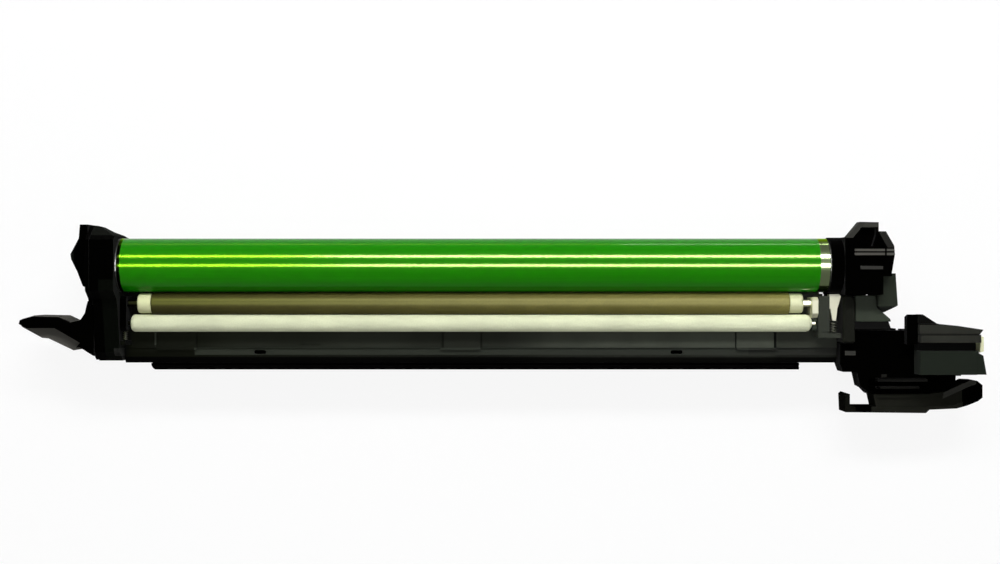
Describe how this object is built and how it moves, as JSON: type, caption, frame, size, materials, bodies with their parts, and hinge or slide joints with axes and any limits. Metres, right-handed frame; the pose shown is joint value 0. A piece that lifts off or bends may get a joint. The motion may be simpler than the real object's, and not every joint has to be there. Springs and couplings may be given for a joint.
{
  "type": "printer drum unit",
  "caption": "Drum unit of a colour copier lying face up: green photoconductor drum, charge and cleaning rollers, moulded casing with geared rear end and stepped front end.",
  "frame": {"origin": "on the casing's back face, under the drum's axis, midway along the drum tube", "axes": "+X along the drum towards the front end, +Z out of the open face, +Y towards the bare drum side"},
  "size_m": [0.5433, 0.1075, 0.065],
  "materials": {
    "casing_black": "fine moulded grain",
    "housing_black": "moulded, slightly glossy",
    "cover_grey": "moulded grain",
    "drum_green": "glossy photoconductor coating on aluminium",
    "flange_plastic": "moulded",
    "charge_rubber": "ground rubber, satin",
    "ring_cream": "satin",
    "foam_cream": "open foam",
    "bearing_white": "low friction plastic",
    "gear_natural": "natural acetal",
    "shaft_steel": "ground",
    "sheet_steel": "rolled sheet",
    "spring_steel": "drawn wire",
    "screw_steel": "zinc plated",
    "contact_bronze": "rolled spring bronze",
    "blade_urethane": "translucent urethane",
    "brush_fibre": "cut pile",
    "lubricant_wax": "pressed wax block",
    "seal_felt": "felt",
    "entrance_film": "thin polyester sheet",
    "auger_plastic": "moulded"
  },
  "bodies": {
    "casing": {"main_frame": "casing_black", "guide_rail": "casing_black", "rear_housing": "housing_black", "gear_cover": "housing_black", "rear_screw_1": "screw_steel", "rear_screw_2": "screw_steel", "rear_screw_3": "screw_steel", "idler_pin": "shaft_steel", "locating_arm": "housing_black", "rear_drum_bearing": "bearing_white", "front_drum_bearing": "bearing_white", "blade_bracket": "sheet_steel", "cleaning_blade": "blade_urethane", "blade_screw_1": "screw_steel", "blade_screw_2": "screw_steel", "blade_screw_3": "screw_steel", "lubricant_bar": "lubricant_wax", "bar_holder": "sheet_steel", "front_bar_spring": "spring_steel", "rear_bar_spring": "spring_steel", "trough_seal": "seal_felt", "entrance_film": "entrance_film", "front_housing": "housing_black", "outlet_pipe": "cover_grey", "front_side_block": "cover_grey", "front_column": "cover_grey", "pocket_cover": "cover_grey", "front_bracket": "housing_black", "front_box": "cover_grey", "front_tray": "cover_grey", "connector": "ring_cream", "front_bearing_spring": "spring_steel", "rear_bearing_spring": "spring_steel", "shutter_spring": "spring_steel"},
    "drum": {"drum_tube": "drum_green", "rear_drum_flange": "gear_natural", "front_drum_flange": "flange_plastic", "drum_earth_plate": "contact_bronze"},
    "carriage": {"front_bearing_slider": "bearing_white", "front_cleaner_clip": "cover_grey", "rear_bearing_slider": "housing_black"},
    "charge": {"charge_roller": "charge_rubber", "rear_end_ring": "ring_cream", "front_end_ring": "ring_cream", "charge_shaft": "shaft_steel"},
    "cleaner": {"cleaning_roller": "foam_cream", "cleaner_shaft": "shaft_steel"},
    "brush": {"lubricant_brush": "brush_fibre", "brush_shaft": "shaft_steel", "brush_gear": "gear_natural"},
    "idler": {"idler_gear": "gear_natural"},
    "auger": {"waste_auger": "auger_plastic", "auger_gear": "gear_natural"},
    "shutter": {"outlet_shutter": "ring_cream"}
  },
  "joints": [
    {"name": "drum_spin", "type": "hinge", "parent": "casing", "child": "drum", "pos_m": [0, 0, 0.046], "axis": [1, 0, 0], "continuous": true},
    {"name": "carriage_slide", "type": "slide", "parent": "casing", "child": "carriage", "axis": [0, -1, 0], "range_m": [0, 0.0005], "stiffness_N_per_m": 500, "springref_m": -0.003, "deforming": ["front_bearing_spring", "rear_bearing_spring"]},
    {"name": "charge_spin", "type": "hinge", "parent": "carriage", "child": "charge", "pos_m": [0, -0.0213, 0.046], "axis": [1, 0, 0], "continuous": true},
    {"name": "cleaner_spin", "type": "hinge", "parent": "carriage", "child": "cleaner", "pos_m": [0, -0.0324, 0.046], "axis": [1, 0, 0], "continuous": true},
    {"name": "brush_spin", "type": "hinge", "parent": "casing", "child": "brush", "pos_m": [0, 0.0024, 0.02534], "axis": [1, 0, 0], "continuous": true},
    {"name": "idler_spin", "type": "hinge", "parent": "casing", "child": "idler", "pos_m": [0, -0.00942, 0.02568], "axis": [1, 0, 0], "continuous": true},
    {"name": "auger_spin", "type": "hinge", "parent": "casing", "child": "auger", "pos_m": [0, -0.0063, 0.0108], "axis": [1, 0, 0], "continuous": true},
    {"name": "shutter_slide", "type": "slide", "parent": "casing", "child": "shutter", "axis": [-1, 0, 0], "range_m": [0, 0.005], "stiffness_N_per_m": 300, "springref_m": -0.002, "deforming": ["shutter_spring"]}
  ],
  "couplings": [
    {"joint": "charge_spin", "follows": "drum_spin", "ratio": -2.5},
    {"joint": "cleaner_spin", "follows": "drum_spin", "ratio": 3.125},
    {"joint": "brush_spin", "follows": "drum_spin", "ratio": -2.25},
    {"joint": "idler_spin", "follows": "drum_spin", "ratio": -1.8},
    {"joint": "auger_spin", "follows": "drum_spin", "ratio": 2}
  ]
}
